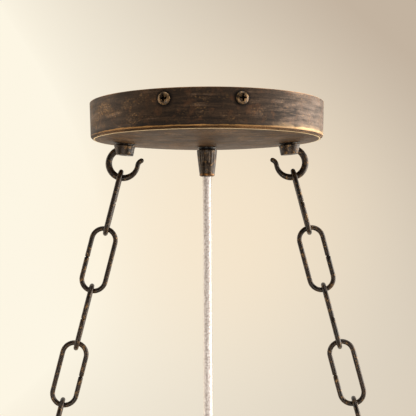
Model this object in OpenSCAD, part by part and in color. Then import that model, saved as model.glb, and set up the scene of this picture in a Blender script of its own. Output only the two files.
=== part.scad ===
// Wagon wheel chandelier: a round canopy with two screw hooks, two splayed chains and a
// clear cord, carrying a wooden spoked wheel with an iron tyre and candle lamps.
// Z = 0 is the ceiling, the canopy's axis is the Z axis, and hooks and eye bolts lie on X.

/* [Canopy] */
// Outer diameter where the canopy meets the ceiling
canopy_d = 141; // [132:1:170]
// Height of the straight side
canopy_side_h = 21.2; // [19:0.1:28]
// How far the shallow dome bulges below the side
canopy_dome = 4; // [1:0.1:7]
// Thickness of the spun sheet
canopy_wall = 1; // [0.8:0.1:1.6]
// How much the radius shrinks down the side
canopy_draft = 0.5; // [0:0.1:1.5]
// Radius of the lower corner
canopy_corner_r = 2.2; // [1.8:0.1:4]
// Diameter of the groove rolled into the lower corner
canopy_groove_d = 1; // [0.6:0.1:1.2]

/* [Ceiling crossbar] */
// Width of the crossbar
bar_w = 56; // [52:1:66]
// Thickness of the crossbar
bar_t = 2; // [1.5:0.1:3]
// Depth of its turned-down end flanges
flange_h = 12; // [10:0.5:15]
// Diameter of the wire hole in the middle
bar_hole_d = 26; // [20:1:30]
// Distance between the two ceiling screw slots
slot_spacing = 78; // [70:1:84]
// Width of a slot
slot_w = 5.2; // [4:0.1:6.5]
// Length of a slot, end to end
slot_l = 22; // [12:1:26]
// Angle of each side screw from straight ahead
screw_angle = 16.7; // [12:0.1:20]
// How far all the side screws are turned away from the hooks' line
screw_turn = 1.5; // [0:0.1:3]
// Distance of the side screws below the ceiling
screw_drop = 5.5; // [5:0.1:7]
// Thread diameter of the side screws
screw_d = 3.5; // [3:0.1:5]
// Length of the side screws under the head
screw_l = 8; // [6:0.5:12]
// Diameter of a side screw's pan head
screw_head_d = 6.8; // [6.2:0.1:9]
// Height of a side screw's pan head
screw_head_h = 1.5; // [1.2:0.1:3]

/* [Terminal block and earth] */
// Length of the terminal block along Y
block_l = 24; // [20:1:30]
// Width of the terminal block along X
block_w = 10; // [8:0.5:12]
// Height of the terminal block
block_h = 11; // [8:0.5:13]
// Diameter of one insulated lead
lead_d = 1.2; // [1:0.1:1.4]
// Distance between neighbouring leads
lead_pitch = 7; // [5:0.5:9]
// Diameter of the earth screw's head
earth_head_d = 8; // [7:0.5:9]

/* [Hooks] */
// Distance between the hook holes
hook_spacing = 100; // [86:0.2:104]
// Wire diameter of a hook
hook_wire = 3.9; // [3.2:0.1:4.6]
// Thread diameter of a hook's shank
hook_shank_d = 5; // [4.8:0.1:6]
// Radius of a hook's ring to the wire's centre
hook_r = 8.8; // [8:0.05:9.6]
// Distance of the ring's centre below the canopy
hook_drop = 12; // [11.8:0.1:15]
// Height of the shank above the canopy sheet
hook_shank_h = 6.5; // [5:0.1:9]
// Wire diameter of a hook's flared tip
tip_wire = 2.9; // [2.5:0.1:3.4]
// Radius of the flared tip
tip_r = 4; // [3.4:0.1:7]
// Collar diameter against the canopy
collar_top_d = 12.9; // [11.6:0.1:15]
// Collar diameter at its lower edge
collar_low_d = 11.4; // [10:0.1:14]
// Collar height
collar_h = 7; // [5.5:0.1:7.2]
// Width of the hook nuts across the flats
hook_nut_af = 8; // [7:0.5:10]
// Height of the hook nuts
hook_nut_h = 3.2; // [2:0.1:4.5]

/* [Chain] */
// Number of links in each chain, an odd number
link_count = 25; // [21:2:29]
// Wire diameter of a link
link_wire = 2.8; // [2.4:0.1:3.2]
// Outer width of a link
link_w = 17.2; // [16:0.1:19]
// Inner length of a link
link_inner_l = 36.1; // [32:0.1:40]

/* [Cord and cord grips] */
// Diameter of the clear sheath
cord_d = 6; // [5.4:0.1:7]
// Diameter of the woven core
core_d = 4.8; // [3:0.1:5]
// Thread diameter of the grip nipples
nipple_d = 10; // [9:0.1:11]
// Diameter of the nipple's collar under the canopy
grip_neck_d = 10.4; // [10.2:0.1:13]
// Height of that collar
grip_neck_h = 1.9; // [1:0.1:4]
// Wide end of a cord grip
grip_wide_d = 12.4; // [11.2:0.1:15]
// Narrow end of a cord grip
grip_narrow_d = 9.1; // [8.4:0.1:11]
// Length of a cord grip
grip_l = 16; // [12:0.5:22]
// Width of the lock nuts across the flats
lock_nut_af = 14; // [13:0.5:18]
// Height of the lock nuts
lock_nut_h = 3; // [2:0.1:4]

/* [Wheel rim] */
// Radius of the circle through the middle of the rim
rim_r = 281; // [250:1:300]
// Width of the wooden rim
rim_w = 38; // [34:1:48]
// Height of the wooden rim
rim_h = 34; // [30:1:44]
// Chamfer on the rim's inner edges
rim_chamfer = 3; // [1:0.5:5]
// Angle at which the two bent halves of the rim meet
rim_joint_angle = 75; // [70:1:80]
// Thickness of the iron tyre
tyre_t = 3; // [2:0.5:5]
// Diameter of a tyre rivet's head
rivet_head_d = 14; // [10:0.5:18]
// Height of a tyre rivet's head
rivet_head_h = 4; // [3:0.5:6]
// Diameter of a tyre rivet's shank
rivet_d = 5; // [4:0.5:6]
// Length of a tyre rivet's shank
rivet_l = 15; // [12:0.5:18]
// Length of a joint plate under the rim
plate_l = 90; // [70:1:110]
// Width of a joint plate
plate_w = 24; // [20:1:30]
// Thickness of a joint plate
plate_t = 2.5; // [2:0.1:4]

/* [Eye bolts] */
// Wire diameter of an eye bolt
eye_wire = 4; // [3.5:0.1:4.8]
// Radius of its ring to the wire's centre
eye_r = 8; // [7.6:0.1:10]
// Height of the ring's centre above the rim
eye_rise = 34; // [30:1:44]
// Diameter of the collar on the rim
eye_collar_d = 18; // [14:0.5:24]
// Height of the collar on the rim
eye_collar_h = 9; // [6:0.5:14]

/* [Spokes] */
// Number of spokes
spoke_count = 12; // [12:12:12]
// Diameter of a spoke's tenons
tenon_d = 16; // [12:0.5:18]
// Length of the tenon in the rim
rim_tenon_l = 12; // [9:0.5:13]
// Length of the tenon in the nave
nave_tenon_l = 16; // [12:0.5:18]
// Spoke diameter at the nave
spoke_nave_d = 21; // [19:0.5:24]
// Spoke diameter at the rim
spoke_rim_d = 20; // [19:0.5:24]
// Extra diameter at the swell of a spoke
spoke_swell = 5; // [2:0.5:8]
// Diameter of the wire bore in the lamp spokes
wire_bore_d = 6; // [5:0.5:8]

/* [Nave and hub] */
// Diameter of the nave's belt, where the spokes enter
nave_d = 96; // [92:1:110]
// Height of the nave
nave_h = 58; // [54:1:70]
// Height of the belt
nave_belt_h = 30; // [27:1:34]
// Diameter of the nave's ends, inside the bands
nave_end_d = 84; // [78:1:86]
// Thickness of the iron nave bands
band_t = 2.5; // [2:0.5:4]
// Height of the iron nave bands
band_h = 10; // [8:0.5:11]
// Diameter of the wiring chamber
chamber_d = 48; // [44:1:54]
// Thickness of wood left under the chamber
chamber_floor = 10; // [8:1:14]
// Diameter of the hub cover
cover_d = 74; // [68:1:78]
// Height of the hub cover
cover_h = 14; // [12:0.5:18]
// Thickness of the hub cover's sheet
cover_t = 1.2; // [1:0.1:2]
// Height of the finial under the nave
finial_h = 40; // [32:1:54]
// Diameter of the finial's plate
finial_d = 40; // [34:1:48]

/* [Lamps] */
// Number of lamps
lamp_count = 6; // [6:6:6]
// Diameter of a drip pan
pan_d = 72; // [62:1:84]
// Height of a drip pan's rim
pan_h = 7; // [5:0.5:10]
// Thickness of the drip pans and candle cups
pan_t = 1.2; // [1:0.1:2]
// Outer diameter of a candle sleeve
sleeve_d = 28; // [27.5:0.1:31]
// Wall of a candle sleeve
sleeve_t = 1.4; // [1:0.1:1.6]
// Height of a candle sleeve
sleeve_h = 86; // [78:1:110]
// Height of a candle cup
cup_h = 14; // [10:0.5:20]
// Diameter of a lamp holder
holder_d = 23.6; // [22:0.1:24]
// Height of a lamp holder
holder_h = 80; // [70:1:100]
// Bore of the screw shell, for a small screw cap lamp
shell_bore_d = 14; // [12:0.1:14.5]
// Depth of the screw shell
shell_h = 18; // [14:0.5:20]
// Wall of the screw shell
shell_t = 0.5; // [0.4:0.1:0.8]
// How far a lamp's nipple stands up into its holder
nipple_rise = 8; // [6:0.5:12]
// Diameter of a lamp wire
lamp_wire_d = 4; // [3:0.1:4.5]

/* [Fits] */
// Play between a shank and its own hole, on the radius
play = 0.1; // [0.05:0.05:0.2]
// Gap between neighbouring links
link_gap = 0.2; // [0.1:0.05:0.4]
// Gap between a link and its hook or eye
seat_gap = 0.3; // [0.2:0.05:0.5]
// Gap that lets the lowest links follow a sideways swing
swing_gap = 1; // [0.9:0.05:1.4]
// Gap between the canopy's wall and the crossbar
bar_gap = 0.3; // [0.2:0.1:0.6]

/* [Hidden] */
$fn = 48;

bronze = [0.22, 0.17, 0.12];
dark_bronze = [0.15, 0.12, 0.10];
zinc = [0.62, 0.63, 0.65];
brass = [0.72, 0.58, 0.30];
black_plastic = [0.06, 0.06, 0.07];
white_plastic = [0.86, 0.86, 0.84];
clear_plastic = [0.88, 0.88, 0.86, 0.5];
braid_grey = [0.66, 0.65, 0.62];
earth_green = [0.20, 0.45, 0.22];
aged_wood = [0.36, 0.25, 0.16];
candle_ivory = [0.90, 0.86, 0.74];

// A cut runs past the face that it opens by this much
over = 1;
// A wire's elbow is a little thicker than the wire
elbow_swell = 0.3;
arc_steps = 8;

// Canopy
canopy_r = canopy_d / 2;
canopy_low_r = canopy_r - canopy_draft;
dome_edge_r = canopy_low_r - canopy_corner_r;
dome_r = (dome_edge_r * dome_edge_r + canopy_dome * canopy_dome) / (2 * canopy_dome);
dome_centre_z = dome_r - canopy_side_h - canopy_dome;
function dome_z(x, r = dome_r) = dome_centre_z - sqrt(r * r - x * x);
canopy_bottom_z = dome_z(0);

// Crossbar
bar_r = canopy_r - canopy_wall - canopy_draft - bar_gap;
thread_play = play / 2;

// Hooks: the shank stands square to the dome, and the ring's centre lies on its axis
hook_x = hook_spacing / 2;
hook_tilt = asin(hook_x / dome_r);
ring_x = hook_x + hook_drop * sin(hook_tilt);
ring_z = dome_z(hook_x) - hook_drop * cos(hook_tilt);
// The wire thins in two steps, on the ring's inner side and at the flared tip
thin_angle = -115;
ring_end_angle = -176;
tip_sweep = 65;
tip_lap = 3;
tip_run = 1.2;
tip_bevel = 1;

// Chain: each link's length is taken between the centres of its end wires
link_l = link_inner_l + link_wire;
link_pitch = link_l - link_wire - link_gap;
hook_seat = hook_r - hook_wire / 2 - link_wire / 2 - seat_gap;
eye_seat = eye_r - eye_wire / 2 - link_wire / 2 - seat_gap;
swing_lift = swing_gap - link_gap;
chain_run = hook_seat + (link_count - 1) * link_pitch - swing_lift + link_l + eye_seat;
splay = asin((rim_r - ring_x) / chain_run);
function along_chain(d) = [ring_x + d * sin(splay), 0, ring_z - d * cos(splay)];
function link_centre(k) =
  hook_seat + link_l / 2 + (k - 1) * link_pitch - (k == link_count ? swing_lift : 0);

// Wheel heights
eye_z = along_chain(chain_run)[2];
rim_top_z = eye_z - eye_rise;
rim_mid_z = rim_top_z - rim_h / 2;
rim_low_z = rim_top_z - rim_h;
rim_in_r = rim_r - rim_w / 2;
rim_out_r = rim_r + rim_w / 2;
tyre_in_r = rim_out_r + play;
nave_top_z = rim_mid_z + nave_h / 2;
nave_low_z = rim_mid_z - nave_h / 2;
nave_r = nave_d / 2;
cover_top_z = nave_top_z + cover_h;

// Lamps stand on every second spoke line, clear of the eye bolts
lamp_angles = [for (i = [0:lamp_count - 1]) (i + 0.5) * 360 / lamp_count];
pan_base_r = sleeve_d / 2 + pan_t + 2;
lamp_floor_z = rim_top_z + 2 * pan_t;
holder_top_z = lamp_floor_z + holder_h;
nipple_top_z = lamp_floor_z + nipple_rise;
nipple_low_z = rim_low_z - lock_nut_h - 2;
shell_z = holder_top_z - shell_h - 1;
contact_z = shell_z - 2;
chamber_top_z = contact_z - 3;
rivet_angles = [for (i = [0:spoke_count - 1]) (i + 0.5) * 360 / spoke_count];

// Cord ends, inside the canopy and inside the hub
cord_top_z = canopy_bottom_z + canopy_wall + lock_nut_h + 3;
core_top_z = cord_top_z + 2;
cord_low_z = nave_top_z - 4;
core_low_z = cord_low_z - 6;

// A straight round bar between two heights, with an optional bore
module tube(outer_d, inner_d, z0, z1) {
  translate([0, 0, z0])
    difference() {
      cylinder(h = z1 - z0, d = outer_d);
      translate([0, 0, -over])
        cylinder(h = z1 - z0 + 2 * over, d = inner_d);
    }
}

// A hexagonal nut whose lower face is at z = 0
module hex_nut(af, h, bore_d) {
  difference() {
    cylinder(h = h, d = af / cos(30), $fn = 6);
    translate([0, 0, -over])
      cylinder(h = h + 2 * over, d = bore_d);
  }
}

// An arc of round wire in the XZ plane, with angles taken from +X towards +Z
module wire_arc(r, wire, a0, a1) {
  rotate([90, 0, 0])
    rotate([0, 0, a0])
      rotate_extrude(angle = a1 - a0)
        translate([r, 0])
          circle(d = wire);
}

// A domed head of diameter d on the plane z = 0
module domed_head(d, h) {
  r = (d * d / 4 + h * h) / (2 * h);
  edge = asin(d / 2 / r);
  dome = [for (i = [0:arc_steps]) let (a = edge * i / arc_steps)
    [r * sin(a), h - r + r * cos(a)]];
  rotate_extrude()
    polygon(concat([[0, 0]], dome));
}

// Children are placed at each of the wheel's lamps
module at_lamps() {
  for (a = lamp_angles)
    rotate([0, 0, a])
      translate([rim_r, 0, 0])
        children();
}

// Children are drawn on both sides, as mirror images
module both_sides() {
  children();
  mirror([1, 0, 0])
    children();
}

// Children are placed at each side screw, with Z pointing out through the canopy's wall
module at_side_screws() {
  for (base = [90, 270], side = [-1, 1])
    rotate([0, 0, base + side * screw_angle - screw_turn])
      translate([canopy_r, 0, -screw_drop])
        rotate([0, 90, 0])
          children();
}

// Children are placed at the right hook's hole, with Z along its shank
module at_hook() {
  translate([hook_x, 0, dome_z(hook_x)])
    rotate([0, -hook_tilt, 0])
      children();
}

/* Canopy */

// Half outline of the canopy's skin at depth w inside its outer face
function canopy_skin(w) = concat(
  [[canopy_r - w, 0]],
  [for (i = [0:arc_steps]) let (a = 90 * i / arc_steps)
    [dome_edge_r + (canopy_corner_r - w) * cos(a),
      canopy_corner_r - canopy_side_h - (canopy_corner_r - w) * sin(a)]],
  [for (i = [1:2 * arc_steps]) let (x = dome_edge_r * (1 - i / (2 * arc_steps)))
    [x, dome_z(x, dome_r - w)]]);

function reversed(list) = [for (i = [len(list) - 1:-1:0]) list[i]];

// The groove runs round the middle of the lower corner
module canopy_groove() {
  mid = canopy_corner_r * cos(45);
  rotate_extrude($fn = 96)
    translate([dome_edge_r + mid, canopy_corner_r - canopy_side_h - mid])
      circle(d = canopy_groove_d);
}

module canopy_shell() {
  color(bronze)
    difference() {
      rotate_extrude($fn = 96)
        polygon(concat(canopy_skin(0), reversed(canopy_skin(canopy_wall))));
      canopy_groove();
      translate([0, 0, canopy_bottom_z - over])
        cylinder(h = canopy_side_h, d = nipple_d + 2 * play);
      both_sides()
        at_hook()
          translate([0, 0, -over])
            cylinder(h = canopy_wall + 2 * over, d = hook_shank_d + 2 * play);
      at_side_screws()
        translate([0, 0, -2 * canopy_wall - canopy_draft])
          cylinder(h = 3 * canopy_wall + canopy_draft, d = screw_d + 4 * play);
    }
}

// The crossbar's flanged ends follow the canopy's wall
module ceiling_crossbar() {
  color(zinc)
    difference() {
      intersection() {
        difference() {
          translate([0, 0, -flange_h])
            cylinder(h = flange_h, r = bar_r, $fn = 96);
          translate([0, 0, -flange_h - over])
            cylinder(h = flange_h + over - bar_t, r = bar_r - bar_t, $fn = 96);
        }
        translate([-bar_w / 2, -canopy_r, -flange_h])
          cube([bar_w, canopy_d, flange_h]);
      }
      translate([0, 0, -bar_t - over])
        cylinder(h = bar_t + 2 * over, d = bar_hole_d);
      for (side = [-1, 1])
        translate([0, side * slot_spacing / 2, -bar_t - over])
          slot(bar_t + 2 * over);
      at_side_screws()
        translate([0, 0, -screw_l - over])
          cylinder(h = screw_l + 2 * over, d = screw_d + 2 * thread_play);
      translate([-block_x, 0, -bar_t - over])
        cylinder(h = bar_t + 2 * over, d = screw_d + 2 * thread_play);
    }
}

// A slot along Y with round ends
module slot(h) {
  straight = slot_l - slot_w;
  translate([-slot_w / 2, -straight / 2, 0])
    cube([slot_w, straight, h]);
  for (side = [-1, 1])
    translate([0, side * straight / 2, 0])
      cylinder(h = h, d = slot_w);
}

// A cross recess for a driver, whose four arms narrow outwards
module cross_recess(d, depth) {
  translate([0, 0, -depth])
    linear_extrude(depth + over)
      polygon([for (i = [0:7]) let (r = i % 2 == 0 ? d / 2 : d / 6)
        [r * cos(45 * i), r * sin(45 * i)]]);
}

module pan_screw(d, l, head_d, head_h) {
  difference() {
    domed_head(head_d, head_h);
    translate([0, 0, head_h])
      cross_recess(head_d * 0.55, head_h * 0.8);
  }
  translate([0, 0, -l])
    cylinder(h = l, d = d);
}

module canopy_side_screws() {
  color(dark_bronze)
    at_side_screws()
      pan_screw(screw_d, screw_l, screw_head_d, screw_head_h);
}

// The block and the earth screw sit either side of the wire hole
block_x = bar_hole_d / 2 + block_w / 2 + 1;

module earth_screw() {
  color(earth_green)
    translate([-block_x, 0, -bar_t])
      rotate([180, 0, 0])
        pan_screw(screw_d, bar_t, earth_head_d, screw_head_h);
}

module terminal_block() {
  color(white_plastic)
    translate([block_x, 0, -bar_t - block_h])
      difference() {
        translate([-block_w / 2, -block_l / 2, 0])
          cube([block_w, block_l, block_h]);
        for (i = [-1:1])
          translate([0, i * lead_pitch, 0]) {
            translate([-block_w / 2 - over, 0, block_h / 2])
              rotate([0, 90, 0])
                cylinder(h = block_w / 2 + over, d = lead_d + 2 * play);
            translate([0, 0, -over])
              cylinder(h = block_h / 3, d = lead_d + 1);
          }
      }
}

// Three leads rise from the cord's core and turn into the block
module terminal_wires() {
  color(brass)
    for (i = [-1:1]) {
      start = [0, i * (lead_d + elbow_swell + play), core_top_z];
      rise = start + [0, 0, lead_d];
      turn = [bar_hole_d / 4, i * lead_pitch, -bar_t - block_h / 2];
      end = [block_x - 1, i * lead_pitch, turn[2]];
      lead(start, rise);
      lead(rise, turn);
      lead(turn, end);
      for (bend = [rise, turn])
        translate(bend)
          sphere(d = lead_d + elbow_swell);
    }
}

// A round lead between two points
module lead(from, to) {
  run = to - from;
  tilt = acos(run[2] / norm(run));
  translate(from)
    rotate([0, tilt, atan2(run[1], run[0])])
      cylinder(h = norm(run), d = lead_d);
}

/* Hooks */

// The right hook, grown by a clearance: the ring leaves the shank outwards, and each
// thinner stretch of wire starts inside the one before it and ends in the flared tip
module hook_shape(clearance = 0) {
  wire = hook_wire + 2 * clearance;
  thin_wire = (hook_wire + tip_wire) / 2;
  shank_low_z = hook_r - hook_drop - hook_shank_d / 2;
  tip_angle = ring_end_angle + 180;
  ring_turn = hook_r + tip_r;
  translate([0, 0, -hook_drop]) {
    wire_arc(hook_r, wire, thin_angle, 90);
    wire_arc(hook_r, thin_wire, ring_end_angle, thin_angle + tip_lap);
    translate([ring_turn * cos(ring_end_angle), 0, ring_turn * sin(ring_end_angle)]) {
      wire_arc(tip_r, tip_wire, tip_angle - tip_lap, tip_angle + tip_sweep);
      rotate([0, -(tip_angle + tip_sweep), 0])
        translate([tip_r, 0, -tip_bevel])
          cylinder(h = tip_bevel + tip_run, d1 = tip_wire - tip_bevel / 3, d2 = tip_wire - tip_bevel);
    }
  }
  translate([0, 0, shank_low_z])
    cylinder(h = canopy_wall + hook_shank_h - shank_low_z, d = hook_shank_d + 2 * clearance);
}

module right_hook() {
  color(dark_bronze)
    at_hook()
      hook_shape();
}

module left_hook() {
  mirror([1, 0, 0])
    right_hook();
}

module hook_collars() {
  color(dark_bronze)
    both_sides()
      at_hook()
        difference() {
          translate([0, 0, -collar_h])
            cylinder(h = collar_h, d1 = collar_low_d, d2 = collar_top_d);
          hook_shape(thread_play);
        }
}

module hook_nuts() {
  color(zinc)
    both_sides()
      at_hook()
        translate([0, 0, canopy_wall + 0.1])
          hex_nut(hook_nut_af, hook_nut_h, hook_shank_d + 2 * thread_play);
}

/* Cord grip and cord */

module cord_grip_nipple() {
  neck_low_z = canopy_bottom_z - grip_neck_h;
  color(black_plastic) {
    tube(nipple_d, cord_d + 2 * play, canopy_bottom_z, cord_top_z - 1);
    tube(grip_neck_d, cord_d + 2 * play, neck_low_z, canopy_bottom_z);
    tube(grip_thread_d, cord_d + 2 * play, neck_low_z - grip_l / 3, neck_low_z);
  }
}

// The grip screws onto a thinner thread than the canopy's hole takes
grip_thread_d = (cord_d + grip_narrow_d) / 2 + 0.4;

// A tapered grip hanging from z = 0, bored for the cord and threaded at its wide end
module grip_shape() {
  difference() {
    translate([0, 0, -grip_l])
      cylinder(h = grip_l, d1 = grip_narrow_d, d2 = grip_wide_d);
    translate([0, 0, -grip_l - over])
      cylinder(h = grip_l + 2 * over, d = cord_d + 2 * play);
    translate([0, 0, -grip_l / 3 - play])
      cylinder(h = grip_l / 3 + play + over, d = grip_thread_d + 2 * thread_play);
  }
}

module cord_grip_body() {
  color(dark_bronze)
    translate([0, 0, canopy_bottom_z - grip_neck_h])
      grip_shape();
}

module cord_grip_lock_nut() {
  color(zinc)
    translate([0, 0, canopy_bottom_z + canopy_wall + 0.1])
      hex_nut(lock_nut_af, lock_nut_h, nipple_d + 2 * thread_play);
}

module cord_sheath() {
  color(clear_plastic)
    tube(cord_d, core_d + play, cord_low_z, cord_top_z);
}

module cord_core() {
  color(braid_grey)
    translate([0, 0, core_low_z])
      cylinder(h = core_top_z - core_low_z, d = core_d);
}

/* Chains */

// An upright link in the XZ plane, centred on the origin
module link() {
  bend_r = (link_w - link_wire) / 2;
  straight = link_l - 2 * bend_r;
  for (end = [0, 180])
    rotate([0, end, 0]) {
      translate([0, 0, straight / 2])
        wire_arc(bend_r, link_wire, 0, 180);
      translate([bend_r, 0, -straight / 2])
        cylinder(h = straight, d = link_wire);
    }
}

// Link k of the right chain; odd links stand edge on to the front
module chain_link(k) {
  translate(along_chain(link_centre(k)))
    rotate([0, -splay, 0])
      rotate([0, 0, k % 2 == 1 ? 90 : 0])
        link();
}

module right_top_link() {
  color(dark_bronze)
    chain_link(1);
}

module right_chain_links() {
  color(dark_bronze)
    for (k = [2:link_count - 1])
      chain_link(k);
}

module right_bottom_link() {
  color(dark_bronze)
    chain_link(link_count);
}

module left_top_link() {
  mirror([1, 0, 0])
    right_top_link();
}

module left_chain_links() {
  mirror([1, 0, 0])
    right_chain_links();
}

module left_bottom_link() {
  mirror([1, 0, 0])
    right_bottom_link();
}

/* Eye bolts */

eye_bolt_end_z = -eye_rise - rim_h - lock_nut_h - 2;

module right_eye_bolt() {
  color(dark_bronze)
    translate([rim_r, 0, eye_z]) {
      wire_arc(eye_r, eye_wire, 0, 360);
      translate([0, 0, eye_bolt_end_z])
        cylinder(h = -eye_bolt_end_z - eye_r, d = eye_wire);
    }
}

module left_eye_bolt() {
  mirror([1, 0, 0])
    right_eye_bolt();
}

module eye_collars() {
  color(dark_bronze)
    both_sides()
      translate([rim_r, 0, rim_top_z])
        difference() {
          cylinder(h = eye_collar_h, d1 = eye_collar_d, d2 = eye_collar_d * 0.6);
          translate([0, 0, -over])
            cylinder(h = eye_collar_h + 2 * over, d = eye_wire + 2 * thread_play);
        }
}

module eye_nuts() {
  color(dark_bronze)
    both_sides()
      translate([rim_r, 0, rim_low_z - lock_nut_h])
        hex_nut(hook_nut_af, lock_nut_h, eye_wire + 2 * thread_play);
}

/* Rim and tyre */

// Half of the bent rim, from angle a0 round to a0 + 180
module rim_half(a0) {
  color(aged_wood)
    difference() {
      rotate([0, 0, a0])
        rotate_extrude(angle = 180, $fn = 180)
          rim_section();
      for (i = [0:spoke_count - 1])
        rotate([0, 0, i * 360 / spoke_count])
          translate([rim_in_r - over, 0, rim_mid_z])
            rotate([0, 90, 0])
              cylinder(h = rim_tenon_l + over + play, d = tenon_d + 2 * play);
      for (a = rivet_angles)
        rotate([0, 0, a])
          translate([tyre_in_r + tyre_t - rivet_l - play, 0, rim_mid_z])
            rotate([0, 90, 0])
              cylinder(h = rivet_l, d = rivet_d + 2 * play);
      at_lamps() {
        translate([0, 0, rim_low_z - over])
          cylinder(h = rim_h + 2 * over, d = nipple_d + 2 * play);
        translate([-rim_w / 2, 0, rim_mid_z])
          rotate([0, 90, 0])
            cylinder(h = rim_w / 2, d = wire_bore_d);
      }
      both_sides()
        translate([rim_r, 0, rim_low_z - over])
          cylinder(h = rim_h + 2 * over, d = eye_wire + 2 * play);
      at_plate_screws()
        cylinder(h = plate_screw_l + play, d = plate_screw_d + 2 * play);
    }
}

// The rim's cross-section, with chamfers on its inner edges
module rim_section() {
  polygon([
    [rim_in_r, rim_low_z + rim_chamfer], [rim_in_r + rim_chamfer, rim_low_z],
    [rim_out_r, rim_low_z], [rim_out_r, rim_top_z],
    [rim_in_r + rim_chamfer, rim_top_z], [rim_in_r, rim_top_z - rim_chamfer]
  ]);
}

module rim_half_left() {
  rim_half(rim_joint_angle);
}

module rim_half_right() {
  rim_half(rim_joint_angle + 180);
}

plate_screw_d = 4;
plate_screw_l = 14;

// Children are placed at each joint plate's screws, with Z pointing up into the rim
module at_plate_screws() {
  for (a = [rim_joint_angle, rim_joint_angle + 180], side = [-1, 1])
    rotate([0, 0, a])
      translate([rim_r, side * plate_l / 3, rim_low_z])
        children();
}

module rim_joint_plates() {
  color(dark_bronze)
    difference() {
      for (a = [rim_joint_angle, rim_joint_angle + 180])
        rotate([0, 0, a])
          translate([rim_r - plate_w / 2, -plate_l / 2, rim_low_z - plate_t])
            cube([plate_w, plate_l, plate_t]);
      at_plate_screws()
        translate([0, 0, -plate_t - over])
          cylinder(h = plate_t + 2 * over, d = plate_screw_d + 2 * play);
    }
}

module rim_joint_screws() {
  color(dark_bronze)
    at_plate_screws()
      translate([0, 0, -plate_t])
        rotate([180, 0, 0])
          pan_screw(plate_screw_d, plate_t + plate_screw_l, screw_head_d, screw_head_h);
}

module tyre_band() {
  color(bronze)
    difference() {
      tube(2 * (tyre_in_r + tyre_t), 2 * tyre_in_r, rim_low_z, rim_top_z, $fn = 180);
      for (a = rivet_angles)
        rotate([0, 0, a])
          translate([tyre_in_r - over, 0, rim_mid_z])
            rotate([0, 90, 0])
              cylinder(h = tyre_t + 2 * over, d = rivet_d + 2 * play);
    }
}

module tyre_rivets() {
  color(dark_bronze)
    for (a = rivet_angles)
      rotate([0, 0, a])
        translate([tyre_in_r + tyre_t, 0, rim_mid_z])
          rotate([0, 90, 0]) {
            domed_head(rivet_head_d, rivet_head_h);
            translate([0, 0, -rivet_l])
              cylinder(h = rivet_l, d = rivet_d);
          }
}

/* Spokes */

// Diameter of the turned spoke at share t of its length from the nave
function spoke_d(t) =
  spoke_nave_d + (spoke_rim_d - spoke_nave_d) * t + spoke_swell * sin(180 * pow(t, 0.75));

// Spoke i, counted from +X; every second one carries the wire of a lamp
module spoke(i) {
  length = rim_in_r - nave_r;
  steps = 2 * arc_steps;
  ends = 2;
  turned = [for (k = [0:steps])
    [spoke_d(k / steps) / 2, -ends + (length + 2 * ends) * k / steps]];
  color(aged_wood)
    rotate([0, 0, i * 360 / spoke_count])
      difference() {
        union() {
          difference() {
            translate([nave_r, 0, rim_mid_z])
              rotate([0, 90, 0])
                rotate_extrude()
                  polygon(concat([[0, -ends]], turned, [[0, length + ends]]));
            translate([0, 0, nave_low_z])
              cylinder(h = nave_h, r = nave_r, $fn = 96);
            tube(2 * rim_out_r, 2 * rim_in_r, rim_low_z, rim_top_z, $fn = 180);
          }
          translate([nave_r - nave_tenon_l, 0, rim_mid_z])
            rotate([0, 90, 0])
              cylinder(h = length + nave_tenon_l + rim_tenon_l, d = tenon_d);
        }
        if (i % 2 == 1)
          translate([0, 0, rim_mid_z])
            rotate([0, 90, 0])
              cylinder(h = rim_r, d = wire_bore_d);
      }
}

/* Nave and hub */

module nave() {
  belt = nave_belt_h / 2;
  half = nave_h / 2;
  end_r = nave_end_d / 2;
  color(aged_wood)
    difference() {
      translate([0, 0, rim_mid_z])
        rotate_extrude($fn = 96)
          polygon([
            [0, -half], [end_r, -half], [end_r, band_h - half], [nave_r, -belt],
            [nave_r, belt], [end_r, half - band_h], [end_r, half], [0, half]
          ]);
      translate([0, 0, nave_low_z + chamber_floor])
        cylinder(h = nave_h, d = chamber_d);
      translate([0, 0, nave_low_z - over])
        cylinder(h = chamber_floor + 2 * over, d = stud_d + 2 * play);
      for (i = [0:spoke_count - 1])
        rotate([0, 0, i * 360 / spoke_count])
          translate([nave_r - nave_tenon_l - play, 0, rim_mid_z])
            rotate([0, 90, 0])
              cylinder(h = nave_tenon_l + play + over, d = tenon_d + 2 * play);
      for (a = lamp_angles)
        rotate([0, 0, a])
          translate([0, 0, rim_mid_z])
            rotate([0, 90, 0])
              cylinder(h = nave_r, d = wire_bore_d);
      at_cover_screws()
        translate([0, 0, -cover_screw_l - play])
          cylinder(h = cover_screw_l + play + over, d = cover_screw_d + 2 * play);
    }
}

stud_d = 8;
cover_screw_d = 3;
cover_screw_l = 10;
cover_screw_count = 3;
flange_w = 8;
cover_screw_r = cover_d / 2 - flange_w / 2;

// Children are placed at each hub cover screw, on the nave's top face
module at_cover_screws() {
  for (i = [0:cover_screw_count - 1])
    rotate([0, 0, 90 + i * 360 / cover_screw_count])
      translate([cover_screw_r, 0, nave_top_z])
        children();
}

module nave_band(z0) {
  color(bronze)
    tube(nave_end_d + 2 * (play + band_t), nave_end_d + 2 * play, z0, z0 + band_h, $fn = 96);
}

module nave_top_band() {
  nave_band(nave_top_z - band_h);
}

module nave_bottom_band() {
  nave_band(nave_low_z);
}

// Half outline of the hub cover at depth w inside its outer face
function cover_skin(w) = let (rise = cover_h - cover_t, foot_r = cover_d / 2 - flange_w)
  [for (i = [0:arc_steps]) let (a = 90 * i / arc_steps)
    [boss_r + (foot_r - boss_r) * cos(a) - w * cos(a) * (i < arc_steps ? 1 : 0),
      cover_t + rise * sin(a) - w * (i > 0 ? 1 : 0)]];
boss_r = nipple_d / 2 + 3;

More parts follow.
